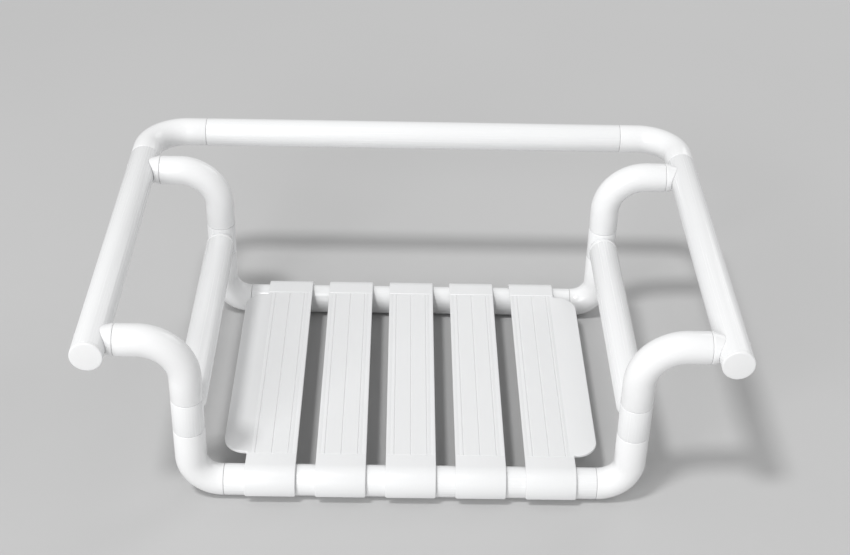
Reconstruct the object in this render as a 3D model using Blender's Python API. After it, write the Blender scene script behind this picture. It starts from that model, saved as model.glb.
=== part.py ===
"""Bath seat that hangs on the rim of a bathtub.

A U-shaped top frame of round tube lies on the rim. Four hangers drop from it inside the tub and
carry two seat tubes, over which five plastic slats are clipped. Every outer tube is a plastic
sleeve or moulded elbow over a steel core, and the cores plug into each other end to end.
Metres, +Z up, +Y towards the rear of the seat, origin on the ground under the middle of the seat.
"""

from math import cos, pi, radians, sin, sqrt

import bmesh
import bpy
from mathutils import Matrix, Vector

# Frame, measured between tube axes unless a line says otherwise
rail_spacing = 0.650
hanger_spacing = 0.344
rail_drop = 0.183
front_overhang = 0.031
rear_land = 0.029

# Plastic sleeves, elbows and collars
tube_radius = 0.017
upper_bend = 0.046
lower_bend = 0.033
elbow_leg = 0.022
drop_leg = 0.027
lower_leg = 0.001
upright_length = 0.040
collar_length = 0.0065
collar_land = 0.0025
collar_tip_wall = 0.0009

# Steel cores
core_radius = 0.0125
core_wall = 0.0015
spigot_length = 0.025
spigot_room = 0.0025
stub_length = 0.018

# Fastening of each hanger to its rail
bolt_radius = 0.004
bolt_reach = 0.022
thread_runout = 0.002
bolt_head_radius = 0.0065
bolt_head_height = 0.006
plug_depth = 0.005

# End caps and rim pads
cap_face = 0.004
cap_edge = 0.0012
cap_spigot_room = 0.0065
pad_width = 0.012
pad_thickness = 0.0035
pad_recess = 0.002
pad_margin = 0.016

# Slats
slat_count = 5
slat_gap = 0.021
slat_margin = 0.0225
slat_thickness = 0.004
hook_wrap = radians(108)
wing_width = 0.026
wing_land = 0.002
wing_root = 0.007
rib_spacing = 0.029
rib_width = 0.003
rib_depth = 0.006

# Clearances
joint_gap = 0.0003
core_fit = 0.0006
spigot_fit = 0.0004
hole_gap = 0.0003
head_room = 0.0007
clip_gap = 0.0005
pad_gap = 0.0003
cut_past = 0.002

# Facets
tube_sides = 16
core_sides = 12
bend_steps = 6
hook_steps = 8
corner_steps = 6

WHITE = (0.83, 0.84, 0.84, 1.0)
STEEL = (0.46, 0.47, 0.49, 1.0)
GREY = (0.17, 0.17, 0.18, 1.0)

X = Vector((1, 0, 0))
Y = Vector((0, 1, 0))
Z = Vector((0, 0, 1))

# Radii worked out from the sizes
half_gap = joint_gap / 2
sleeve_bore = core_radius + core_fit
core_bore = core_radius - core_wall
spigot_radius = core_bore - spigot_fit
spigot_bore = spigot_radius - core_wall
bolt_hole = bolt_radius + hole_gap
access_radius = bolt_head_radius + head_room
plug_radius = access_radius - hole_gap
collar_tip_radius = sleeve_bore + collar_tip_wall

# Places across the seat
rail_x = rail_spacing / 2
saddle_x = rail_x - tube_radius - collar_length
core_top_x = rail_x - tube_radius - joint_gap
upright_x = saddle_x - elbow_leg - upper_bend
seat_seam_x = upright_x - lower_bend - lower_leg
slat_room = 2 * (seat_seam_x - slat_margin)
slat_width = (slat_room - (slat_count - 1) * slat_gap) / slat_count
slat_pitch = slat_width + slat_gap

# Places from front to rear
corner_arm = upper_bend + elbow_leg
rear_overhang = corner_arm + rear_land
depth = front_overhang + hanger_spacing + rear_overhang + tube_radius
cap_y = -depth / 2
front_y = cap_y + front_overhang
rear_y = front_y + hanger_spacing
cross_y = rear_y + rear_overhang
rail_start = cap_y + cap_face + joint_gap
rail_end = cross_y - corner_arm
rail_spigot = rear_land - bolt_head_radius - spigot_room
cap_spigot = front_overhang - cap_face - bolt_head_radius - cap_spigot_room
pad_start = rail_start + pad_margin
pad_end = rail_end - pad_margin
plate_front = front_y + tube_radius + slat_thickness
plate_rear = rear_y - tube_radius - slat_thickness

# Heights, with the lowest facets of the seat tubes on the ground
seat_z = tube_radius * cos(pi / tube_sides)
rail_z = seat_z + rail_drop
upright_top = rail_z - upper_bend - drop_leg
upright_foot = upright_top - upright_length
bar_z = (upright_top + upright_foot) / 2

for old in list(bpy.data.objects):
    bpy.data.objects.remove(old, do_unlink=True)


def finish(name, mesh, colour, roughness, metallic=0.0):
    """Make the object of a piece from its mesh, with its own material."""
    material = bpy.data.materials.new(name + "_finish")
    material.use_nodes = True
    shader = material.node_tree.nodes["Principled BSDF"]
    shader.inputs["Base Color"].default_value = colour
    shader.inputs["Roughness"].default_value = roughness
    shader.inputs["Metallic"].default_value = metallic
    mesh.materials.append(material)
    piece = bpy.data.objects.new(name, mesh)
    bpy.context.scene.collection.objects.link(piece)
    return piece


def plastic(name, mesh):
    return finish(name, mesh, WHITE, 0.38)


def steel(name, mesh):
    return finish(name, mesh, STEEL, 0.35, 1.0)


def to_mesh(name, bm):
    """Close the mesh data of one piece: faces outwards, round faces smooth, edges sharp."""
    bmesh.ops.recalc_face_normals(bm, faces=bm.faces)
    mesh = bpy.data.meshes.new(name)
    bm.to_mesh(mesh)
    bm.free()
    mesh.shade_smooth()
    mesh.set_sharp_from_angle(angle=radians(35))
    return mesh


def guide(name, bm):
    """A hidden shape that cuts or joins other pieces."""
    helper = bpy.data.objects.new(name, to_mesh(name, bm))
    bpy.context.scene.collection.objects.link(helper)
    helper.hide_render = True
    helper.display_type = "WIRE"
    return helper


def combine(piece, helper, operation="DIFFERENCE"):
    modifier = piece.modifiers.new(helper.name, "BOOLEAN")
    modifier.operation = operation
    modifier.solver = "EXACT"
    modifier.object = helper


def ring(bm, point, tangent, normal, radius, sides):
    """One circle of a swept tube, square to its tangent."""
    across = tangent.cross(normal)
    turns = [2 * pi * (k + 0.5) / sides for k in range(sides)]
    return [bm.verts.new(point + radius * (cos(a) * normal + sin(a) * across)) for a in turns]


def skin(bm, rings):
    for a, b in zip(rings, rings[1:]):
        for k in range(len(a)):
            j = (k + 1) % len(a)
            bm.faces.new((a[k], a[j], b[j], b[k]))


def add_rod(bm, stations, normal, sides):
    """A solid rod through stations of (point, tangent, radius)."""
    rings = [ring(bm, p, t, normal, r, sides) for p, t, r in stations]
    skin(bm, rings)
    bm.faces.new(rings[0])
    bm.faces.new(rings[-1])


def add_pipe(bm, outer, inner, normal, sides):
    """An open pipe, whose outer and inner stations share their first and last places."""
    outside = [ring(bm, p, t, normal, r, sides) for p, t, r in outer]
    inside = [ring(bm, p, t, normal, r, sides) for p, t, r in inner]
    skin(bm, outside)
    skin(bm, inside)
    skin(bm, [outside[0], inside[0]])
    skin(bm, [outside[-1], inside[-1]])


def with_radius(path, radius):
    return [(p, t, radius) for p, t in path]


def straight(start, end):
    tangent = (end - start).normalized()
    return [(start, tangent), (end, tangent)]


def bend(start, corner, end, radius):
    """A path from start to end that turns a right angle at the corner."""
    first = (corner - start).normalized()
    last = (end - corner).normalized()
    centre = corner - radius * first + radius * last
    path = [(start, first)]
    for k in range(bend_steps + 1):
        a = pi / 2 * k / bend_steps
        path.append((centre + radius * (sin(a) * first - cos(a) * last), cos(a) * first + sin(a) * last))
    path.append((end, last))
    return path


def tube_piece(name, path, normal):
    bm = bmesh.new()
    outer = with_radius(path, tube_radius)
    add_pipe(bm, outer, with_radius(path, sleeve_bore), normal, tube_sides)
    return plastic(name, to_mesh(name, bm))


def core_tube(name, start, end, normal):
    bm = bmesh.new()
    path = straight(start, end)
    add_pipe(bm, with_radius(path, core_radius), with_radius(path, core_bore), normal, core_sides)
    return steel(name, to_mesh(name, bm))


def rod_piece(name, stations, normal, sides):
    bm = bmesh.new()
    add_rod(bm, stations, normal, sides)
    return to_mesh(name, bm)


def side_name(side):
    return "left" if side < 0 else "right"


def rail_fastening(side):
    """Holes through a rail for its two hanger bolts, and the recess for its rim pad."""
    bm = bmesh.new()
    for y in (front_y, rear_y):
        axis = Vector((side * rail_x, y, rail_z))
        for way, radius in ((-side, bolt_hole), (side, access_radius)):
            start = axis + way * core_bore / 2 * X
            end = axis + way * (tube_radius + cut_past) * X
            add_rod(bm, [(start, way * X, radius), (end, way * X, radius)], Y, core_sides)
    length = pad_end - pad_start + 2 * pad_gap
    width = pad_width + 2 * pad_gap
    centre = Vector((side * rail_x, (pad_start + pad_end) / 2, rail_z - tube_radius))
    size = Matrix.Diagonal((width, length, 2 * pad_recess, 1))
    bmesh.ops.create_cube(bm, size=1, matrix=Matrix.Translation(centre) @ size)
    return guide(f"{side_name(side)}_rail_holes", bm)


def corner_core(name, turn):
    """Bent pipe inside a corner elbow, drawn in to a spigot at each end."""
    start, along_rail = turn[0]
    end, along_cross = turn[-1]
    rail_tip = (start - rail_spigot * along_rail, along_rail)
    cross_tip = (end + spigot_length * along_cross, along_cross)
    outer = with_radius([rail_tip, turn[0]], spigot_radius)
    outer += with_radius(turn, core_radius)
    outer += with_radius([turn[-1], cross_tip], spigot_radius)
    inner = with_radius([rail_tip, turn[0]], spigot_bore)
    inner += with_radius(turn[1:-1], core_bore)
    inner += with_radius([turn[-1], cross_tip], spigot_bore)
    bm = bmesh.new()
    add_pipe(bm, outer, inner, Z, core_sides)
    steel(name, to_mesh(name, bm))


# Top frame: side rails, rear cross rail and corner elbows
for side in (-1, 1):
    label = side_name(side)
    holes = rail_fastening(side)
    front = Vector((side * rail_x, rail_start, rail_z))
    rear = Vector((side * rail_x, rail_end - half_gap, rail_z))
    sleeve = tube_piece(f"{label}_rail_sleeve", straight(front, rear), Z)
    combine(sleeve, holes)
    core_front = front + (cap_spigot + joint_gap) * Y
    core = core_tube(f"{label}_rail_core", core_front, rear, Z)
    combine(core, holes)

    corner = Vector((side * rail_x, cross_y, rail_z))
    start = corner - (corner_arm - half_gap) * Y
    end = corner - side * (corner_arm - half_gap) * X
    turn = bend(start, corner, end, upper_bend)
    tube_piece(f"{label}_corner_elbow", turn, Z)
    corner_core(f"{label}_corner_core", turn)

cross_half = rail_x - corner_arm - half_gap
left_end = Vector((-cross_half, cross_y, rail_z))
right_end = Vector((cross_half, cross_y, rail_z))
tube_piece("rear_cross_sleeve", straight(left_end, right_end), Z)
core_tube("rear_cross_core", left_end, right_end, Z)


def end_cap(side):
    """Flat round cap with an eased rim and a spigot that fills the rail's bore."""
    x, z = side * rail_x, rail_z
    steps = (
        (cap_y, tube_radius - cap_edge),
        (cap_y + cap_edge, tube_radius),
        (cap_y + cap_face, tube_radius),
        (cap_y + cap_face, core_radius),
        (cap_y + cap_face + cap_spigot, core_radius),
    )
    stations = [(Vector((x, y, z)), Y, radius) for y, radius in steps]
    name = f"{side_name(side)}_end_cap"
    plastic(name, rod_piece(name, stations, Z, tube_sides))


def rim_pad(side):
    """Soft strip in the recess under a side rail, on which the seat lies on the rim."""
    bottom = rail_z - tube_radius + pad_recess - pad_gap - pad_thickness
    centre = Vector((side * rail_x, (pad_start + pad_end) / 2, bottom + pad_thickness / 2))
    size = Matrix.Diagonal((pad_width, pad_end - pad_start, pad_thickness, 1))
    bm = bmesh.new()
    bmesh.ops.create_cube(bm, size=1, matrix=Matrix.Translation(centre) @ size)
    name = f"{side_name(side)}_rim_pad"
    finish(name, to_mesh(name, bm), GREY, 0.8)


for side in (-1, 1):
    end_cap(side)
    rim_pad(side)


def collar(name, foot, away, normal, host_tangent):
    """Tapered collar that ends a tube on the side of its host tube, cut to the host's round."""
    seam = tube_radius + collar_length
    outer = (
        (foot + (seam - half_gap) * away, away, tube_radius),
        (foot + (seam - collar_land) * away, away, tube_radius),
        (foot + (tube_radius - collar_length) * away, away, collar_tip_radius),
    )
    inner = [(p, t, sleeve_bore) for p, t, r in outer]
    bm = bmesh.new()
    add_pipe(bm, outer, inner, normal, tube_sides)
    piece = plastic(name, to_mesh(name, bm))
    bm = bmesh.new()
    clear = (tube_radius + joint_gap) / cos(pi / tube_sides)
    reach = (tube_radius + cut_past) * host_tangent
    add_rod(bm, [(foot - reach, host_tangent, clear), (foot + reach, host_tangent, clear)],
            away, tube_sides)
    combine(piece, guide(name + "_cope", bm))


def hanger(side, y, end_label, bar_way):
    """One hanger: saddle collar, upper elbow, upright, lower elbow and the core inside them."""
    label = f"{end_label}_{side_name(side)}"
    inward = -side * X
    on_rail = Vector((side * rail_x, y, rail_z))
    collar(f"{label}_saddle_collar", on_rail, inward, Z, Y)

    top_corner = Vector((side * upright_x, y, rail_z))
    low_corner = Vector((side * upright_x, y, seat_z))
    saddle = Vector((side * (saddle_x - half_gap), y, rail_z))
    seat_seam = Vector((side * (seat_seam_x + half_gap), y, seat_z))
    over_upright = Vector((side * upright_x, y, upright_top + half_gap))
    under_upright = Vector((side * upright_x, y, upright_foot - half_gap))
    upper = bend(saddle, top_corner, over_upright, upper_bend)
    lower = bend(under_upright, low_corner, seat_seam, lower_bend)
    tube_piece(f"{label}_upper_elbow", upper, Y)
    tube_piece(f"{label}_lower_elbow", lower, Y)

    on_bar = Vector((side * upright_x, y, bar_z))
    half_upright = (upright_length / 2 - half_gap) * Z
    upright = tube_piece(f"{label}_upright", straight(on_bar + half_upright, on_bar - half_upright), Y)
    bm = bmesh.new()
    hole = spigot_radius + hole_gap / cos(pi / core_sides)
    outside = on_bar + (tube_radius + cut_past) * bar_way
    add_rod(bm, with_radius(straight(on_bar, outside), hole), Z, core_sides)
    combine(upright, guide(f"{label}_upright_hole", bm))
    collar(f"{label}_bar_collar", on_bar, bar_way, X, Z)

    core_top = Vector((side * core_top_x, y, rail_z))
    hanger_core(f"{label}_hanger_core", core_top, upper[1:-1] + lower[1:], on_bar, bar_way)
    bolt(label, on_rail, inward, core_top + bolt_reach * inward)
    outside = on_rail - tube_radius * inward
    path = straight(outside, outside + plug_depth * inward)
    name = f"{label}_hole_plug"
    plastic(name, rod_piece(name, with_radius(path, plug_radius), Z, core_sides))


def hanger_core(name, top, bends, on_bar, bar_way):
    """Bent pipe with a solid threaded top, a stub for the side bar and a spigot at its foot."""
    inward = bends[0][1]
    foot = bends[-1][0]
    foot_tip = foot + spigot_length * inward
    outer = with_radius([(top, inward)] + bends, core_radius)
    outer += with_radius(straight(foot, foot_tip), spigot_radius)
    core = steel(name, rod_piece(name, outer, Y, core_sides))

    bm = bmesh.new()
    stub_tip = on_bar + (tube_radius + stub_length) * bar_way
    add_rod(bm, with_radius(straight(on_bar, stub_tip), spigot_radius), Z, core_sides)
    combine(core, guide(name + "_stub", bm), "UNION")

    bm = bmesh.new()
    inner = with_radius(bends[:-2], core_bore)
    inner += with_radius([bends[-2], (foot_tip + cut_past * inward, inward)], spigot_bore)
    add_rod(bm, inner, Y, core_sides)
    combine(core, guide(name + "_bore", bm))

    bm = bmesh.new()
    thread = straight(top - cut_past * inward, top + (bolt_reach + thread_runout) * inward)
    add_rod(bm, with_radius(thread, bolt_hole), Z, core_sides)
    combine(core, guide(name + "_thread", bm))


def bolt(label, on_rail, inward, tip):
    """Screw whose head lies inside the rail core, and whose thread runs into the hanger core."""
    wall = core_bore * cos(pi / core_sides)
    seat = sqrt(wall**2 - bolt_head_radius**2) - joint_gap
    steps = (
        (on_rail + (seat - bolt_head_height) * inward, bolt_head_radius),
        (on_rail + seat * inward, bolt_head_radius),
        (on_rail + seat * inward, bolt_radius),
        (tip, bolt_radius),
    )
    stations = [(p, inward, radius) for p, radius in steps]
    name = f"{label}_rail_bolt"
    steel(name, rod_piece(name, stations, Z, core_sides))


for side in (-1, 1):
    hanger(side, front_y, "front", Y)
    hanger(side, rear_y, "rear", -Y)

# Seat tubes between the hangers' lower elbows
for label, y in (("front", front_y), ("rear", rear_y)):
    left_end = Vector((-seat_seam_x + half_gap, y, seat_z))
    right_end = Vector((seat_seam_x - half_gap, y, seat_z))
    tube_piece(f"{label}_seat_sleeve", straight(left_end, right_end), Z)
    core_tube(f"{label}_seat_core", left_end, right_end, Z)

# Side bars between the front and rear uprights
for side in (-1, 1):
    label = side_name(side)
    seam = tube_radius + collar_length + half_gap
    front = Vector((side * upright_x, front_y + seam, bar_z))
    rear = Vector((side * upright_x, rear_y - seam, bar_z))
    tube_piece(f"{label}_bar_sleeve", straight(front, rear), Z)
    core_inset = tube_radius + joint_gap
    front = Vector((side * upright_x, front_y + core_inset, bar_z))
    rear = Vector((side * upright_x, rear_y - core_inset, bar_z))
    core_tube(f"{label}_bar_core", front, rear, Z)


def slat_profile():
    """Side outline of a slat: a flat plate that ends in a hook over the outer side of each tube."""
    inner = tube_radius + clip_gap
    outer = inner + slat_thickness
    wraps = [hook_wrap * k / hook_steps for k in range(hook_steps + 1)]
    top = [(front_y - outer * sin(a), seat_z + outer * cos(a)) for a in wraps]
    under = [(front_y - inner * sin(a), seat_z + inner * cos(a)) for a in reversed(wraps)]
    mirror = front_y + rear_y
    far_under = [(mirror - y, z) for y, z in reversed(under)]
    far_top = [(mirror - y, z) for y, z in reversed(top)]
    return top + under + far_under + far_top


def plate(bm, outline, low, high):
    """A flat plate with the given outline in plan, between two heights."""
    base = [bm.verts.new((x, y, low)) for x, y in outline]
    face = bm.faces.new(base)
    raised = bmesh.ops.extrude_face_region(bm, geom=[face])
    moved = [v for v in raised["geom"] if isinstance(v, bmesh.types.BMVert)]
    bmesh.ops.translate(bm, verts=moved, vec=(high - low) * Z)


def wing_outline(side, slat_x):
    """Plan of the flat wing on the outer edge of an outer slat, with rounded corners."""
    slat_edge = slat_x + side * slat_width / 2
    root = slat_edge - side * wing_root
    edge = slat_edge + side * wing_width
    corner = wing_width - wing_land
    turns = [pi / 2 * k / corner_steps for k in range(corner_steps + 1)]
    front = [(edge - side * corner * (1 - sin(a)), plate_front + corner * (1 - cos(a))) for a in turns]
    rear = [(x, plate_front + plate_rear - y) for x, y in reversed(front)]
    return [(root, plate_rear), (root, plate_front)] + front + rear


def slat(number):
    """One slat: hooked plate, two stiffening ribs below it and, on an outer slat, a wing."""
    name = f"slat_{number}"
    slat_x = (number - (slat_count + 1) / 2) * slat_pitch
    bm = bmesh.new()
    outline = [bm.verts.new((slat_x - slat_width / 2, y, z)) for y, z in slat_profile()]
    face = bm.faces.new(outline)
    raised = bmesh.ops.extrude_face_region(bm, geom=[face])
    moved = [v for v in raised["geom"] if isinstance(v, bmesh.types.BMVert)]
    bmesh.ops.translate(bm, verts=moved, vec=slat_width * X)
    piece = plastic(name, to_mesh(name, bm))

    low = seat_z + tube_radius + clip_gap
    high = low + slat_thickness
    bm = bmesh.new()
    for way in (-1, 1):
        inner = slat_x + way * (rib_spacing - rib_width) / 2
        outer = slat_x + way * (rib_spacing + rib_width) / 2
        box = ((inner, plate_front), (outer, plate_front), (outer, plate_rear), (inner, plate_rear))
        plate(bm, box, low - rib_depth, low + slat_thickness / 2)
    combine(piece, guide(name + "_ribs", bm), "UNION")
    if number in (1, slat_count):
        bm = bmesh.new()
        plate(bm, wing_outline(-1 if number == 1 else 1, slat_x), low, high)
        combine(piece, guide(name + "_wing", bm), "UNION")


for number in range(1, slat_count + 1):
    slat(number)
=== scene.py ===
"""Bath seat that hangs on the rim of a bathtub, dressed for a studio picture.

Metres, +Z up, +Y towards the rear of the seat. The sections follow the seat as it is put together:
the steel inside, the plastic tubes, elbows and collars round it, the caps and pads, and the slats
that clip on last. The floor, the lamps and the camera come at the end.
"""

from math import cos, pi, radians, sin

import bmesh
import bpy
from mathutils import Matrix, Vector


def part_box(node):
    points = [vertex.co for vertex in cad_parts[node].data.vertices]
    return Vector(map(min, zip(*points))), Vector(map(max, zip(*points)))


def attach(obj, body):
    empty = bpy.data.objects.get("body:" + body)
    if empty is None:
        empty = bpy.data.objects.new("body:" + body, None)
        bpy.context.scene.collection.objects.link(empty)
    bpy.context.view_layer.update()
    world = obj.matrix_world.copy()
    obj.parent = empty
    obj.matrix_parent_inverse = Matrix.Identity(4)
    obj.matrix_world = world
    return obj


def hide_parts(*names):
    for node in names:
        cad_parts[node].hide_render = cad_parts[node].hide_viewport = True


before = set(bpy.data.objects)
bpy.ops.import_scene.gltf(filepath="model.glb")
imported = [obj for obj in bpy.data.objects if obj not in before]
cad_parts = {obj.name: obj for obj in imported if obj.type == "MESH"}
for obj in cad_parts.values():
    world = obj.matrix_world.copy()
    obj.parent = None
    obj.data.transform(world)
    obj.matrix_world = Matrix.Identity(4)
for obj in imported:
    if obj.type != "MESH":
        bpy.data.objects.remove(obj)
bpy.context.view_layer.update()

# Steel inside the seat: bent and straight core tubes that plug into each other, and the four bolts
# that hold the hangers to the rails. The plastic hides them, so they keep the frame's own solids
# and get a zinc-plated finish with its faint cloudy spangle.
core_colour = (0.46, 0.47, 0.49, 1.0)
bolt_colour = (0.55, 0.56, 0.58, 1.0)
zinc_roughness = 0.35
zinc_roughness_range = (0.28, 0.44)
spangle_per_metre = 160.0
spangle_shade = 0.86
drawn_lines_per_metre = 1400.0
drawn_line_depth = 0.00003


def node(tree, kind, inputs=(), **settings):
    """Add a node, set its properties, and fill its inputs with values or with other sockets."""
    made = tree.nodes.new(kind)
    for name, value in settings.items():
        setattr(made, name, value)
    for key, value in dict(inputs).items():
        if isinstance(value, bpy.types.NodeSocket):
            tree.links.new(value, made.inputs[key])
        else:
            made.inputs[key].default_value = value
    return made


def new_finish(name, roughness, metallic=0.0):
    """A material whose shader has its plain values set, with its tree and object coordinates."""
    material = bpy.data.materials.new(name)
    material.use_nodes = True
    tree = material.node_tree
    shader = tree.nodes["Principled BSDF"]
    shader.inputs["Roughness"].default_value = roughness
    shader.inputs["Metallic"].default_value = metallic
    place = node(tree, "ShaderNodeTexCoord").outputs["Object"]
    return material, tree, shader, place


def noise(tree, place, per_metre, detail=2.0):
    """Cloudy values round a half, so many to the metre."""
    inputs = {"Vector": place, "Scale": per_metre, "Detail": detail}
    return node(tree, "ShaderNodeTexNoise", inputs).outputs["Fac"]


def between(tree, value, low, high, start=0.3, stop=0.7):
    """Spread the middle of a noise over a range of values."""
    inputs = {"Value": value, "From Min": start, "From Max": stop, "To Min": low, "To Max": high}
    return node(tree, "ShaderNodeMapRange", inputs).outputs["Result"]


def tint(tree, amount, first, second):
    """Blend from a first colour to a second one."""
    mix = node(tree, "ShaderNodeMix", {0: amount, 6: first, 7: second}, data_type="RGBA")
    return mix.outputs[2]


def shade_of(colour, factor):
    """A colour made darker or lighter by a factor."""
    return tuple(channel * factor for channel in colour[:3]) + (1.0,)


def emboss(tree, shader, height, depth, strength=1.0):
    """Press a height pattern of a real depth into the surface."""
    inputs = {"Height": height, "Distance": depth, "Strength": strength}
    bump = node(tree, "ShaderNodeBump", inputs)
    tree.links.new(bump.outputs["Normal"], shader.inputs["Normal"])


def zinc_plate(name, colour):
    """Zinc-plated steel with a cloudy spangle and the fine marks of drawing."""
    material, tree, shader, place = new_finish(name, zinc_roughness, metallic=1.0)
    spangle = noise(tree, place, spangle_per_metre)
    dark = shade_of(colour, spangle_shade)
    colours = tint(tree, between(tree, spangle, 0.0, 1.0), dark, colour)
    tree.links.new(colours, shader.inputs["Base Color"])
    tree.links.new(between(tree, spangle, *zinc_roughness_range), shader.inputs["Roughness"])
    emboss(tree, shader, noise(tree, place, drawn_lines_per_metre), drawn_line_depth)
    return material


core_finish = zinc_plate("zinc_core", core_colour)
bolt_finish = zinc_plate("zinc_bolt", bolt_colour)
for name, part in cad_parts.items():
    if name.endswith(("_core", "_rail_bolt")):
        part.data.materials.clear()
        part.data.materials.append(bolt_finish if name.endswith("_bolt") else core_finish)

# Straight tubes of white plastic, extruded over the steel with fine shallow flutes along them so
# that a wet hand doesn't slip: two rails, the rear cross rail, two seat tubes, two side bars and
# the four short uprights. The rails also have the holes and the pad's recess.
tube_radius = 0.017
sleeve_bore = 0.0131
flute_count = 32
flute_depth = 0.00007
edge_radius = 0.0008
points_per_flute = 6
bend_facets = 28
bore_overrun = 0.002
weld_distance = 0.00001
pad_clearance = 0.0003
plug_clearance = 0.0003
stub_hole_radius = 0.011
hole_sides = 48
tube_white = (0.86, 0.865, 0.87, 1.0)
tube_roughness = (0.22, 0.29)
cloud_per_metre = 14.0
cloud_shade = 0.975
streak_per_metre = 420.0
streak_shade = 0.985
streak_stretch = 0.012
peel_per_metre = 700.0
peel_depth = 0.000005


def white_plastic(name, colour, roughness, stretch=(1.0, 1.0, 1.0), grain=peel_per_metre,
                  depth=peel_depth):
    """White moulded or drawn plastic: a faint clouding, fine streaks or grain, and orange peel."""
    material, tree, shader, place = new_finish(name, roughness[0])
    mapping = node(tree, "ShaderNodeMapping", {"Vector": place, "Scale": stretch})
    cloud = noise(tree, place, cloud_per_metre, 3.0)
    streak = noise(tree, mapping.outputs["Vector"], streak_per_metre, 3.0)
    clouded = tint(tree, between(tree, cloud, 0.0, 1.0), shade_of(colour, cloud_shade), colour)
    streaked = tint(tree, between(tree, streak, 0.0, 1.0), shade_of(colour, streak_shade), colour)
    tree.links.new(tint(tree, 0.5, clouded, streaked), shader.inputs["Base Color"])
    tree.links.new(between(tree, streak, *roughness), shader.inputs["Roughness"])
    emboss(tree, shader, noise(tree, mapping.outputs["Vector"], grain), depth)
    return material


drawn_finish = {}
for axis in range(3):
    stretch = [1.0, 1.0, 1.0]
    stretch[axis] = streak_stretch
    name = "drawn_white_" + "xyz"[axis]
    drawn_finish[axis] = white_plastic(name, tube_white, tube_roughness, stretch)


def tree_with(name, inputs, output):
    """An empty node tree with named inputs, and the nodes that bring them in and take one out."""
    tree = bpy.data.node_groups.new(name, "GeometryNodeTree")
    for label, kind in inputs:
        tree.interface.new_socket(label, in_out="INPUT", socket_type="NodeSocket" + kind)
    tree.interface.new_socket(output, in_out="OUTPUT", socket_type="NodeSocketGeometry")
    brought = tree.nodes.new("NodeGroupInput").outputs
    taken = tree.nodes.new("NodeGroupOutput").inputs
    return tree, brought, taken[output]


def maths(tree, operation, *values):
    """One sum on numbers or sockets."""
    made = node(tree, "ShaderNodeMath", dict(enumerate(values)), operation=operation)
    return made.outputs[0]


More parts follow.
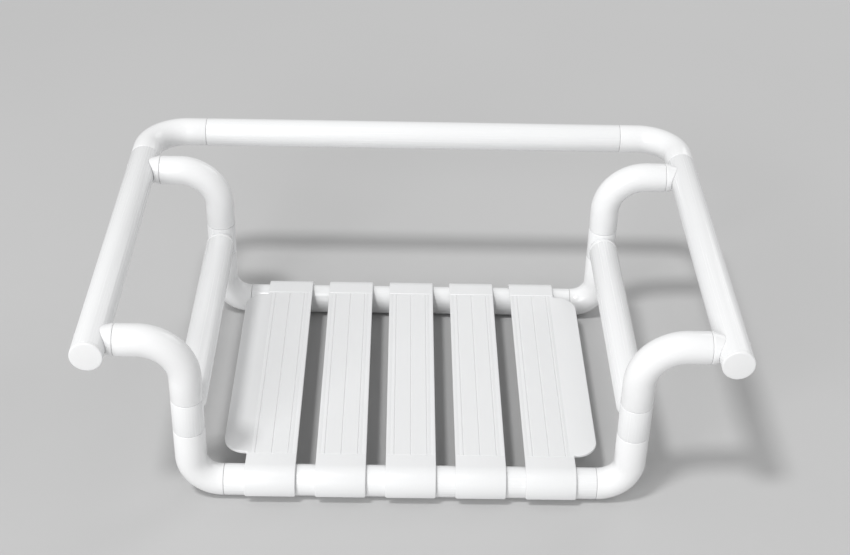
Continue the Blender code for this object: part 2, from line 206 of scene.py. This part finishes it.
def plastic_tube_tree():
    """A hollow tube along a path: rounded ends, round bends, and flutes pressed into its skin."""
    inputs = (("Path", "Geometry"), ("Bend Radius", "Float"), ("Outer Radius", "Float"),
              ("Bore Radius", "Float"), ("Edge Radius", "Float"), ("Sides", "Int"),
              ("Flutes", "Int"), ("Flute Depth", "Float"), ("Finish", "Material"))
    tree, given, out = tree_with("plastic_tube", inputs, "Tube")
    radius = given["Outer Radius"]

    line = node(tree, "GeometryNodeMeshToCurve", {"Mesh": given["Path"]})
    bent = node(tree, "GeometryNodeFilletCurve",
                {"Curve": line.outputs[0], "Count": bend_facets, "Radius": given["Bend Radius"]},
                mode="POLY").outputs[0]

    # Near either end the section shrinks along a quarter circle, which rounds the edge
    along = node(tree, "GeometryNodeSplineParameter").outputs["Length"]
    length = node(tree, "GeometryNodeSplineLength").outputs["Length"]
    from_end = maths(tree, "MINIMUM", along, maths(tree, "SUBTRACT", length, along))
    share = maths(tree, "DIVIDE", from_end, given["Edge Radius"])
    inset = maths(tree, "MAXIMUM", maths(tree, "SUBTRACT", 1.0, share), 0.0)
    round_end = maths(tree, "SQRT", maths(tree, "SUBTRACT", 1.0, maths(tree, "POWER", inset, 2.0)))
    lost = maths(tree, "MULTIPLY", maths(tree, "SUBTRACT", 1.0, round_end), given["Edge Radius"])
    scale = maths(tree, "SUBTRACT", 1.0, maths(tree, "DIVIDE", lost, radius))

    # The section is a circle with shallow scallops pressed in
    circle = node(tree, "GeometryNodeCurvePrimitiveCircle",
                  {"Resolution": given["Sides"], "Radius": radius})
    index = node(tree, "GeometryNodeInputIndex").outputs[0]
    turn = maths(tree, "DIVIDE", maths(tree, "MULTIPLY", index, pi), given["Sides"])
    wave = maths(tree, "SINE", maths(tree, "MULTIPLY", turn, given["Flutes"]))
    scallop = maths(tree, "ABSOLUTE", wave)
    pressed = maths(tree, "MULTIPLY", scallop, maths(tree, "DIVIDE", given["Flute Depth"], radius))
    kept = maths(tree, "SUBTRACT", 1.0, pressed)
    place = node(tree, "GeometryNodeInputPosition").outputs[0]
    fluted = node(tree, "ShaderNodeVectorMath", {0: place, "Scale": kept}, operation="SCALE")
    section = node(tree, "GeometryNodeSetPosition",
                   {"Geometry": circle.outputs["Curve"], "Position": fluted.outputs["Vector"]})
    outside = node(tree, "GeometryNodeCurveToMesh",
                   {"Curve": bent, "Profile Curve": section.outputs[0], "Scale": scale,
                    "Fill Caps": True})

    # The bore runs a little past both ends, so that it cuts them cleanly
    bore_line = bent
    tangent = node(tree, "GeometryNodeInputTangent").outputs[0]
    for start, end, way in ((1, 0, -1), (0, 1, 1)):
        chosen = node(tree, "GeometryNodeCurveEndpointSelection",
                      {"Start Size": start, "End Size": end}).outputs[0]
        push = node(tree, "ShaderNodeVectorMath", {0: tangent, "Scale": way * bore_overrun},
                    operation="SCALE").outputs["Vector"]
        bore_line = node(tree, "GeometryNodeSetPosition",
                         {"Geometry": bore_line, "Selection": chosen, "Offset": push}).outputs[0]
    bore_circle = node(tree, "GeometryNodeCurvePrimitiveCircle",
                       {"Resolution": given["Sides"], "Radius": given["Bore Radius"]})
    bore = node(tree, "GeometryNodeCurveToMesh",
                {"Curve": bore_line, "Profile Curve": bore_circle.outputs["Curve"],
                 "Fill Caps": True})
    solid, void = (node(tree, "GeometryNodeMergeByDistance",
                        {"Geometry": swept.outputs[0], "Distance": weld_distance}).outputs[0]
                   for swept in (outside, bore))
    hollow = node(tree, "GeometryNodeMeshBoolean", {"Mesh 1": solid, "Mesh 2": void},
                  operation="DIFFERENCE")
    real = node(tree, "GeometryNodeRealizeInstances", {"Geometry": hollow.outputs[0]})
    coloured = node(tree, "GeometryNodeSetMaterial",
                    {"Geometry": real.outputs[0], "Material": given["Finish"]})
    tree.links.new(coloured.outputs[0], out)
    return tree


def add_object(name, data):
    """A new object in the scene, unturned and at the origin."""
    made = bpy.data.objects.new(name, data)
    bpy.context.scene.collection.objects.link(made)
    return made


def add_tree(piece, tree, values):
    """Put a node tree on a piece, with its inputs set by the sockets' identifiers."""
    modifier = piece.modifiers.new(tree.name, "NODES")
    modifier.node_group = tree
    for item in tree.interface.items_tree:
        if item.name in values:
            modifier[item.identifier] = values[item.name]


def cut(piece, cutter, operation="DIFFERENCE"):
    """Cut one piece out of another, or join them, once the piece is settled."""
    modifier = piece.modifiers.new("cut", "BOOLEAN")
    modifier.operation = operation
    modifier.solver = "EXACT"
    modifier.object = cutter


def settle(piece, sharp=radians(32)):
    """Turn a piece and its modifiers into one plain mesh with round faces shaded smooth."""
    evaluated = piece.evaluated_get(bpy.context.evaluated_depsgraph_get())
    mesh = bpy.data.meshes.new_from_object(evaluated)
    piece.modifiers.clear()
    piece.data = mesh
    mesh.name = piece.name
    mesh.shade_smooth()
    mesh.set_sharp_from_angle(angle=sharp)
    return piece


def stands_for(piece, cad_node):
    """Let a finished piece take the place of a solid of the frame."""
    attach(piece, "root")
    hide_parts(cad_node)


def eased_path(corners, edge):
    """Points through the corners, with three more near each end for its rounded edge."""
    ease = [edge * (1 - cos(radians(turn))) for turn in (30, 60, 90)]
    first = (corners[1] - corners[0]).normalized()
    last = (corners[-2] - corners[-1]).normalized()
    points = [corners[0]] + [corners[0] + step * first for step in ease]
    points += corners[1:-1]
    points += [corners[-1] + step * last for step in reversed(ease)] + [corners[-1]]
    return points


plastic_tube = plastic_tube_tree()


def tube_piece(name, corners, finish, bend_radius=0.0, flutes=0):
    """A plastic tube through the corners, fluted or plain, with its modifier still live."""
    points = eased_path(corners, edge_radius)
    mesh = bpy.data.meshes.new(name)
    mesh.from_pydata(points, [(k, k + 1) for k in range(len(points) - 1)], [])
    piece = add_object(name, mesh)
    facets = (flutes or flute_count // 2) * points_per_flute
    add_tree(piece, plastic_tube, {
        "Bend Radius": bend_radius, "Outer Radius": tube_radius, "Bore Radius": sleeve_bore,
        "Edge Radius": edge_radius, "Sides": facets, "Flutes": flutes,
        "Flute Depth": flute_depth if flutes else 0.0, "Finish": finish})
    return piece


def middle(name):
    """The middle of a solid's box."""
    low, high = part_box(name)
    return (low + high) / 2


def ends(name, axis):
    """The two ends of a straight piece on its own axis."""
    low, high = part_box(name)
    start, end = middle(name), middle(name)
    start[axis] = low[axis]
    end[axis] = high[axis]
    return [start, end]


X, Y, Z = (Vector(row) for row in Matrix.Identity(3))
sides = {"left": -1, "right": 1}
inwards = {"front": 1, "rear": -1}
hangers = [(end, side) for end in inwards for side in sides]


def lathe(name, foot, axis, profile, count):
    """A closed piece turned round an axis from (distance along it, radius) points."""
    bm = bmesh.new()
    across = axis.orthogonal().normalized()
    other = axis.cross(across)
    rings = []
    for distance, radius in profile:
        centre = foot + distance * axis
        turns = [2 * pi * k / count for k in range(count)]
        rings.append([bm.verts.new(centre + radius * (cos(a) * across + sin(a) * other))
                      for a in turns])
    for near, far in zip(rings, rings[1:]):
        for k in range(count):
            bm.faces.new((near[k - 1], near[k], far[k], far[k - 1]))
    bm.faces.new(rings[0])
    bm.faces.new(rings[-1])
    bmesh.ops.recalc_face_normals(bm, faces=bm.faces)
    mesh = bpy.data.meshes.new(name)
    bm.to_mesh(mesh)
    bm.free()
    return add_object(name, mesh)


def block(name, low, high):
    """A plain box between two corners."""
    bm = bmesh.new()
    bmesh.ops.create_cube(bm, size=1)
    size = high - low
    bmesh.ops.transform(bm, verts=bm.verts,
                        matrix=Matrix.Translation((low + high) / 2) @ Matrix.Diagonal((*size, 1)))
    mesh = bpy.data.meshes.new(name)
    bm.to_mesh(mesh)
    bm.free()
    return add_object(name, mesh)


cutters = []
for name, axis in (("left_rail_sleeve", 1), ("right_rail_sleeve", 1), ("rear_cross_sleeve", 0),
                   ("front_seat_sleeve", 0), ("rear_seat_sleeve", 0),
                   ("left_bar_sleeve", 1), ("right_bar_sleeve", 1)):
    tube = tube_piece(name + "_skin", ends(name, axis), drawn_finish[axis], flutes=flute_count)
    if name.endswith("_rail_sleeve"):
        side = name.split("_")[0]
        low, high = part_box(f"{side}_rim_pad")
        room = Vector((pad_clearance, pad_clearance, pad_clearance))
        recess = block(f"{side}_pad_recess", low - room, high + room)
        cut(tube, recess)
        cutters.append(recess)
        wall = tube_radius - sleeve_bore
        for end in inwards:
            plug = f"{end}_{side}_hole_plug"
            low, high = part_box(plug)
            radius = (high.z - low.z) / 2 + plug_clearance
            hole = lathe(f"{end}_{side}_access", middle(plug), sides[side] * X,
                         [(-wall, radius), (wall, radius)], hole_sides)
            cut(tube, hole)
            cutters.append(hole)
    settle(tube)
    stands_for(tube, name)

for end, side in hangers:
    name = f"{end}_{side}_upright"
    tube = tube_piece(name + "_skin", ends(name, 2), drawn_finish[2], flutes=flute_count)
    reach = tube_radius + bore_overrun
    hole = lathe(name + "_stub_hole", middle(name), inwards[end] * Y,
                 [(0.0, stub_hole_radius), (reach, stub_hole_radius)], hole_sides)
    cut(tube, hole)
    cutters.append(hole)
    settle(tube)
    stands_for(tube, name)

# Smooth moulded elbows: two at the rear corners of the top frame, and an upper and a lower one on
# each hanger. They push onto the steel and butt against the straight tubes at a fine seam.
upper_bend = 0.046
lower_bend = 0.033
elbow_white = (0.87, 0.873, 0.877, 1.0)
elbow_roughness = (0.19, 0.24)
elbow_finish = white_plastic("moulded_white", elbow_white, elbow_roughness)

rail_z = middle("left_rail_sleeve").z
seat_z = middle("front_seat_sleeve").z
cross_y = middle("rear_cross_sleeve").y


def elbow(name, start, corner, end, bend_radius):
    """A plain moulded tube with one round bend at the corner."""
    piece = tube_piece(name + "_skin", [start, corner, end], elbow_finish, bend_radius)
    settle(piece)
    stands_for(piece, name)


for side, way in sides.items():
    rail_x = middle(f"{side}_rail_sleeve").x
    name = f"{side}_corner_elbow"
    low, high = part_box(name)
    inner_x = high.x if way < 0 else low.x
    elbow(name, Vector((rail_x, low.y, rail_z)), Vector((rail_x, cross_y, rail_z)),
          Vector((inner_x, cross_y, rail_z)), upper_bend)

for end, side in hangers:
    way = sides[side]
    hang = middle(f"{end}_{side}_upright")
    low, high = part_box(f"{end}_{side}_upper_elbow")
    outer_x = high.x if way > 0 else low.x
    elbow(f"{end}_{side}_upper_elbow", Vector((outer_x, hang.y, rail_z)),
          Vector((hang.x, hang.y, rail_z)), Vector((hang.x, hang.y, low.z)), upper_bend)
    low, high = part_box(f"{end}_{side}_lower_elbow")
    inner_x = low.x if way > 0 else high.x
    elbow(f"{end}_{side}_lower_elbow", Vector((hang.x, hang.y, high.z)),
          Vector((hang.x, hang.y, seat_z)), Vector((inner_x, hang.y, seat_z)), lower_bend)

# Tapered collars, one where each hanger meets its rail and one where each side bar meets an
# upright. Each is a short cone whose thin mouth is cut to the round of the tube that it meets.
collar_length = 0.0065
collar_land = 0.0025
collar_tip_radius = 0.0140
mouth_gap = 0.0003
collar_sides = 96


def collar(name, foot, away, host_axis):
    """A cone on a foot point of the host tube's axis, with a bore and a mouth cut to the tube."""
    seam = tube_radius + collar_length
    outer = [(seam - edge_radius * (1 - cos(radians(turn))),
              tube_radius - edge_radius * (1 - sin(radians(turn)))) for turn in (0, 30, 60, 90)]
    outer += [(seam - collar_land, tube_radius), (tube_radius - collar_length, collar_tip_radius)]
    outer = [(distance - mouth_gap / 2, radius) for distance, radius in outer]
    piece = lathe(name + "_skin", foot, away, outer, collar_sides)
    bore = lathe(name + "_bore", foot, away,
                 [(0.0, sleeve_bore), (2 * seam, sleeve_bore)], collar_sides)
    reach = tube_radius + bore_overrun
    mouth_radius = tube_radius + mouth_gap
    host = lathe(name + "_mouth", foot - reach * host_axis, host_axis,
                 [(0.0, mouth_radius), (2 * reach, mouth_radius)], collar_sides)
    cut(piece, bore)
    cut(piece, host)
    cutters.extend((bore, host))
    piece.data.materials.append(elbow_finish)
    settle(piece)
    stands_for(piece, name)


for end, side in hangers:
    rail = middle(f"{side}_rail_sleeve")
    hang = middle(f"{end}_{side}_upright")
    foot = Vector((rail.x, hang.y, rail.z))
    collar(f"{end}_{side}_saddle_collar", foot, -sides[side] * X, Y)
    bar_z = middle(f"{side}_bar_sleeve").z
    foot = Vector((hang.x, hang.y, bar_z))
    collar(f"{end}_{side}_bar_collar", foot, inwards[end] * Y, Z)

# Caps: a flat round cap with an eased rim closes the front end of each rail, and a small domed
# plug closes each hole through which a hanger's bolt is turned.
cap_white = (0.87, 0.873, 0.877, 1.0)
cap_roughness = (0.30, 0.36)
cap_finish = white_plastic("cap_white", cap_white, cap_roughness)
cap_edge = 0.0013
cap_crown = 0.0005
cap_spigot_play = 0.0006
plug_dome = 0.0008
plug_step = 0.0004
crown_shares = (0.02, 0.3, 0.6, 0.8, 0.9)
cap_sides = 96


def turned_cap(name, foot, inward, face_radius, depth, spigot_radius, spigot_depth, edge, crown):
    """A cap seen from outside: crowned face, round rim, skirt, and a spigot into the bore."""
    profile = [(crown * (share / crown_shares[-1]) ** 2, (face_radius - edge) * share)
               for share in crown_shares]
    profile += [(crown + edge * (1 - cos(radians(turn))),
                 face_radius - edge * (1 - sin(radians(turn)))) for turn in (10, 30, 50, 70, 90)]
    profile += [(depth, face_radius), (depth, spigot_radius), (depth + spigot_depth, spigot_radius)]
    piece = lathe(name + "_skin", foot, inward, profile, cap_sides)
    piece.data.materials.append(cap_finish)
    settle(piece)
    stands_for(piece, name)


for side in sides:
    low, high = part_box(f"{side}_end_cap")
    sleeve_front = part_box(f"{side}_rail_sleeve")[0].y
    face = middle(f"{side}_end_cap")
    face.y = low.y
    skirt = sleeve_front - low.y - mouth_gap
    turned_cap(f"{side}_end_cap", face, Y, tube_radius, skirt, sleeve_bore - cap_spigot_play,
               high.y - low.y - skirt, cap_edge, cap_crown)

for end, side in hangers:
    name = f"{end}_{side}_hole_plug"
    low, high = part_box(name)
    face = middle(name)
    way = sides[side]
    face.x = high.x if way > 0 else low.x
    radius = (high.z - low.z) / 2
    half_depth = (high.x - low.x) / 2
    turned_cap(name, face, -way * X, radius, half_depth, radius - plug_step, half_depth,
               plug_dome, plug_dome)

# Soft grey pads: a strip of rubber in a recess under each rail, so that the seat lies on the rim
# without slipping or scratching. Its long edges are round and its underside has fine grip lines.
pad_grey = (0.13, 0.13, 0.135, 1.0)
pad_roughness = 0.75
pad_roughness_range = (0.68, 0.86)
dust_per_metre = 60.0
dust_shade = 1.35
pad_bevel = 0.0008
pad_bevel_facets = 4
grip_per_metre = 330.0
grip_depth = 0.0002
grip_strength = 0.6


def rubber_finish():
    """Matt grey rubber with a dusty bloom and fine grip lines across the strip."""
    material, tree, shader, place = new_finish("grey_rubber", pad_roughness)
    dust = noise(tree, place, dust_per_metre, 4.0)
    pale = shade_of(pad_grey, dust_shade)
    colours = tint(tree, between(tree, dust, 0.0, 1.0), pad_grey, pale)
    tree.links.new(colours, shader.inputs["Base Color"])
    tree.links.new(between(tree, dust, *pad_roughness_range), shader.inputs["Roughness"])
    wave = node(tree, "ShaderNodeTexWave", {"Vector": place, "Scale": grip_per_metre},
                wave_type="BANDS", bands_direction="Y", wave_profile="SIN")
    emboss(tree, shader, wave.outputs["Fac"], grip_depth, grip_strength)
    return material


rubber = rubber_finish()
for side in sides:
    name = f"{side}_rim_pad"
    low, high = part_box(name)
    pad = block(name + "_strip", low, high)
    bevel = pad.modifiers.new("round", "BEVEL")
    bevel.width = pad_bevel
    bevel.segments = pad_bevel_facets
    pad.data.materials.append(rubber)
    settle(pad)
    stands_for(pad, name)

# Five moulded slats that spring over both seat tubes and hook under their outer sides. A shallow
# groove marks off the band over either tube. Three deeper ones run along the panel between the
# bands, with a fainter one outside them at either side, and two ribs stiffen the slat from below.
# The two outer slats also carry a flat wing with round outer corners.
clip_gap = 0.0005
slat_thickness = 0.004
hook_wrap = radians(108)
hook_facets = 24
hook_corner = 0.0025
rib_spacing = 0.029
rib_width = 0.003
rib_depth = 0.006
rib_sink = 0.0005
rib_foot_share = 0.75
wing_land = 0.002
wing_corner = 0.024
corner_facets = 14
slat_rim = 0.001
slat_rim_facets = 4
panel_drop = 0.0003
panel_step = 0.0002
band_line_width = 0.0018
band_line_depth = 0.0004
line_width = 0.0018
line_depth = 0.0009
line_foot_share = 0.02
line_places = (-0.33, 0.0, 0.33)
faint_line_depth = 0.0003
faint_line_places = (-0.41, 0.41)
slat_white = (0.80, 0.805, 0.81, 1.0)
slat_roughness = (0.34, 0.42)
slat_grain_per_metre = 2600.0
slat_grain_depth = 0.000012
slat_grain_stretch = (1.0, 0.03, 1.0)
slat_finish = white_plastic("slat_white", slat_white, slat_roughness, slat_grain_stretch,
                            slat_grain_per_metre, slat_grain_depth)

front_y = middle("front_seat_sleeve").y
rear_y = middle("rear_seat_sleeve").y
centre_y = (front_y + rear_y) / 2
plain_low, plain_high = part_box("slat_3")
plain_width = plain_high.x - plain_low.x
slat_top = plain_high.z
hook_inside = tube_radius + clip_gap
hook_outside = hook_inside + slat_thickness
hook_length = hook_wrap * hook_outside
wing_front = front_y + hook_outside - clip_gap
wing_rear = rear_y - hook_outside + clip_gap
panel_front = wing_front - wing_land - panel_step
panel_rear = wing_rear + wing_land + panel_step


def arc(centre, radius, first, last, hollow=False):
    """Rim points on part of a circle, each with its way out, as seen on the slat laid flat."""
    points = []
    for k in range(corner_facets + 1):
        turn = radians(first + (last - first) * k / corner_facets)
        out = Vector((cos(turn), sin(turn)))
        place = Vector(centre) + radius * out
        points.append((place, -out if hollow else out))
    return points


def slat_side(edge, way, wing):
    """One long side of a slat laid flat, from the tip of its front hook to that of its rear hook."""
    out = Vector((0.0, way))
    tip = front_y - hook_length
    inward = edge - way * hook_corner
    points = arc((tip + hook_corner, inward), hook_corner, 180, 180 - way * 90)
    hook = [front_y - hook_length * (1 - k / hook_facets) for k in range(1, hook_facets + 1)]
    plain = hook + [panel_front - band_line_width * share for share in (1.0, 0.5, 0.0)]
    points += [(Vector((along, edge)), out) for along in plain if along > tip + hook_corner]
    if wing:
        far = edge + way * wing
        side = edge + way * wing_land
        points += arc((wing_front - wing_land, side), wing_land, -way * 90, 0, hollow=True)
        centre = (wing_front + wing_corner, far - way * wing_corner)
        points += arc(centre, wing_corner, 180, 180 - way * 90)
    else:
        steps = 2 * corner_facets + 2
        reach = 2 * wing_land + wing_corner
        start = wing_front - wing_land
        points += [(Vector((start + reach * k / (steps - 1), edge)), out) for k in range(steps)]
    mirrored = [(Vector((2 * centre_y - place.x, place.y)), Vector((-normal.x, normal.y)))
                for place, normal in reversed(points)]
    return points + mirrored


def sunk(along):
    """How far the slat's top lies below its bands: a line at either band, the panel between."""
    into = min(along - panel_front, panel_rear - along)
    if into > -band_line_width / 4:
        return panel_drop
    if into > -band_line_width * 3 / 4:
        return panel_drop + band_line_depth
    return 0.0


def bend_slat(along, across, height):
    """Put a point of the flat slat in its place, with both ends bent round the seat tubes."""
    radius = hook_inside + height
    if along < front_y:
        turn = (front_y - along) / hook_outside
        return across, front_y - radius * sin(turn), seat_z + radius * cos(turn)
    if along > rear_y:
        turn = (along - rear_y) / hook_outside
        return across, rear_y + radius * sin(turn), seat_z + radius * cos(turn)
    return across, along, seat_z + radius


def slat_shell(name, low_x, high_x, wings):
    """Rings round the slat's rim from its underside to its top, closed by rungs across."""
    left = slat_side(low_x, -1, wings[0])
    right = slat_side(high_x, 1, wings[1])
    turns = [radians(90 * k / slat_rim_facets) for k in range(slat_rim_facets + 1)]
    lower = [(slat_rim * (1 - sin(a)), slat_rim * (1 - cos(a))) for a in turns]
    upper = [(inset, slat_thickness - height) for inset, height in reversed(lower)]
    bm = bmesh.new()
    rings = []
    for inset, height in lower + upper:
        ring = []
        for place, out in left + right[::-1]:
            along, across = place - inset * out
            lowered = sunk(along) if height > slat_thickness / 2 else 0.0
            ring.append(bm.verts.new(bend_slat(along, across, height - lowered)))
        rings.append(ring)
    for near, far in zip(rings, rings[1:]):
        for k in range(len(near)):
            bm.faces.new((near[k - 1], near[k], far[k], far[k - 1]))
    count = len(left)
    for ring in (rings[0], rings[-1]):
        for k in range(count - 1):
            bm.faces.new((ring[k], ring[k + 1], ring[-2 - k], ring[-1 - k]))
    bmesh.ops.dissolve_degenerate(bm, edges=bm.edges, dist=1e-6)
    bmesh.ops.recalc_face_normals(bm, faces=bm.faces)
    mesh = bpy.data.meshes.new(name)
    bm.to_mesh(mesh)
    bm.free()
    mesh.materials.append(slat_finish)
    return add_object(name, mesh)


def slat_bars_tree():
    """Straight bars along Y at given points, narrower below: ribs to add or lines to press in."""
    inputs = (("Points", "Geometry"), ("Width", "Float"), ("Foot Share", "Float"),
              ("Length", "Float"), ("Height", "Float"), ("Finish", "Material"))
    tree, given, out = tree_with("slat_bars", inputs, "Bars")
    size = node(tree, "ShaderNodeCombineXYZ",
                {"X": given["Width"], "Y": given["Length"], "Z": given["Height"]})
    bar = node(tree, "GeometryNodeMeshCube", {"Size": size.outputs[0]})
    place = node(tree, "GeometryNodeInputPosition").outputs[0]
    parts = node(tree, "ShaderNodeSeparateXYZ", {0: place})
    below = maths(tree, "LESS_THAN", parts.outputs["Z"], 0.0)
    narrowed = maths(tree, "MULTIPLY", below, maths(tree, "SUBTRACT", 1.0, given["Foot Share"]))
    pull = maths(tree, "MULTIPLY", parts.outputs["X"], maths(tree, "MULTIPLY", narrowed, -1.0))
    offset = node(tree, "ShaderNodeCombineXYZ", {"X": pull})
    tapered = node(tree, "GeometryNodeSetPosition",
                   {"Geometry": bar.outputs["Mesh"], "Offset": offset.outputs[0]})
    copies = node(tree, "GeometryNodeInstanceOnPoints",
                  {"Points": given["Points"], "Instance": tapered.outputs[0]})
    real = node(tree, "GeometryNodeRealizeInstances", {"Geometry": copies.outputs[0]})
    coloured = node(tree, "GeometryNodeSetMaterial",
                    {"Geometry": real.outputs[0], "Material": given["Finish"]})
    tree.links.new(coloured.outputs[0], out)
    return tree


slat_bars = slat_bars_tree()


def bars(name, places, width, foot_share, length, height):
    """Bars of one size at the given places, kept as a cutter for a slat."""
    mesh = bpy.data.meshes.new(name)
    mesh.from_pydata(places, [], [])
    made = add_object(name, mesh)
    add_tree(made, slat_bars, {"Width": width, "Foot Share": foot_share, "Length": length,
                               "Height": height, "Finish": slat_finish})
    cutters.append(made)
    return made


for number in range(1, 6):
    name = f"slat_{number}"
    low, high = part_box(name)
    wing = max(high.x - low.x - plain_width, 0.0)
    if wing < wing_land:
        wing = 0.0
    wings = (wing, 0.0) if low.x < 0 else (0.0, wing)
    low_x = low.x + wings[0]
    high_x = high.x - wings[1]
    shell = slat_shell(name + "_shell", low_x, high_x, wings)

    slat_x = (low_x + high_x) / 2
    rib_z = slat_top - slat_thickness - rib_depth / 2 + rib_sink
    ribs = bars(name + "_ribs",
                [(slat_x + way * rib_spacing / 2, centre_y, rib_z) for way in (-1, 1)],
                rib_width, rib_foot_share, wing_rear - wing_front, rib_depth + 2 * rib_sink)
    cut(shell, ribs, "UNION")
    for places, depth in ((line_places, line_depth), (faint_line_places, faint_line_depth)):
        lines = bars(name + "_lines",
                     [(slat_x + share * plain_width, centre_y, slat_top - panel_drop)
                      for share in places],
                     2 * line_width, line_foot_share, panel_rear - panel_front, 2 * depth)
        cut(shell, lines)
    settle(shell)
    stands_for(shell, name)

for cutter in cutters:
    bpy.data.objects.remove(cutter)

# Studio: a plain pale floor under the seat, an even grey sky, a high far key light from the front
# left, which gives the shadows, a large soft lamp low at the front left and a fainter one behind
# on the right.
floor_size = 60.0
floor_grey = (0.52, 0.52, 0.52, 1.0)
floor_roughness = 0.9
floor_cloud_per_metre = 1.5
floor_cloud_shade = 1.03
sky_grey = 0.48
key_from = Vector((-1.02, -0.9, 2.8))
key_strength = 1.28
key_angle = radians(9)
lamps = (
    ("front_lamp", (-2.0, -3.6, 1.8), 2.2, 85.0),
    ("back_lamp", (2.6, 2.9, 2.5), 2.2, 25.0),
)


def floor_finish():
    """A matt pale grey with the faintest clouding."""
    material, tree, shader, place = new_finish("pale_floor", floor_roughness)
    cloud = noise(tree, place, floor_cloud_per_metre, 3.0)
    pale = shade_of(floor_grey, floor_cloud_shade)
    colours = tint(tree, between(tree, cloud, 0.0, 1.0), floor_grey, pale)
    tree.links.new(colours, shader.inputs["Base Color"])
    return material


bm = bmesh.new()
bmesh.ops.create_grid(bm, x_segments=4, y_segments=4, size=floor_size / 2)
bmesh.ops.translate(bm, verts=bm.verts, vec=(0.0, 0.0, seat_z - tube_radius))
floor_mesh = bpy.data.meshes.new("floor")
bm.to_mesh(floor_mesh)
bm.free()
floor_mesh.materials.append(floor_finish())
floor = add_object("floor", floor_mesh)

world = bpy.data.worlds.new("studio")
world.use_nodes = True
sky = world.node_tree.nodes["Background"].inputs
sky["Color"].default_value = (1.0, 1.0, 1.0, 1.0)
sky["Strength"].default_value = sky_grey
bpy.context.scene.world = world


def aim(lamp, place):
    """Hang a lamp at a place and point it at the seat."""
    holder = add_object(lamp.name, lamp)
    holder.location = place
    holder.rotation_euler = (-place).to_track_quat("-Z", "Y").to_euler()


key = bpy.data.lights.new("key_light", "SUN")
key.energy = key_strength
key.angle = key_angle
aim(key, key_from)
for name, place, size, power in lamps:
    lamp = bpy.data.lights.new(name, "AREA")
    lamp.size = size
    lamp.energy = power
    aim(lamp, Vector(place))

# Camera: in front of the seat and above it, looking down, as the picture was taken. Its place and
# turn come from a fit of the seat's own edges.
camera_place = Vector((-0.0163, -1.4622, 1.1133))
camera_pitch = radians(33.7)
camera_yaw = radians(1.2)
camera_roll = radians(1.5)
camera_lens = 64.8

forward = Vector((sin(camera_yaw) * cos(camera_pitch), cos(camera_yaw) * cos(camera_pitch),
                  -sin(camera_pitch)))
level = Vector((cos(camera_yaw), -sin(camera_yaw), 0.0))
upward = level.cross(forward)
right = cos(camera_roll) * level + sin(camera_roll) * upward
above = cos(camera_roll) * upward - sin(camera_roll) * level
turned = Matrix((right, above, -forward)).transposed()
camera = bpy.data.cameras.new("camera")
camera.lens = camera_lens
view = add_object("camera", camera)
view.matrix_world = Matrix.Translation(camera_place) @ turned.to_4x4()
bpy.context.scene.camera = view
bpy.context.scene.view_settings.view_transform = "Standard"
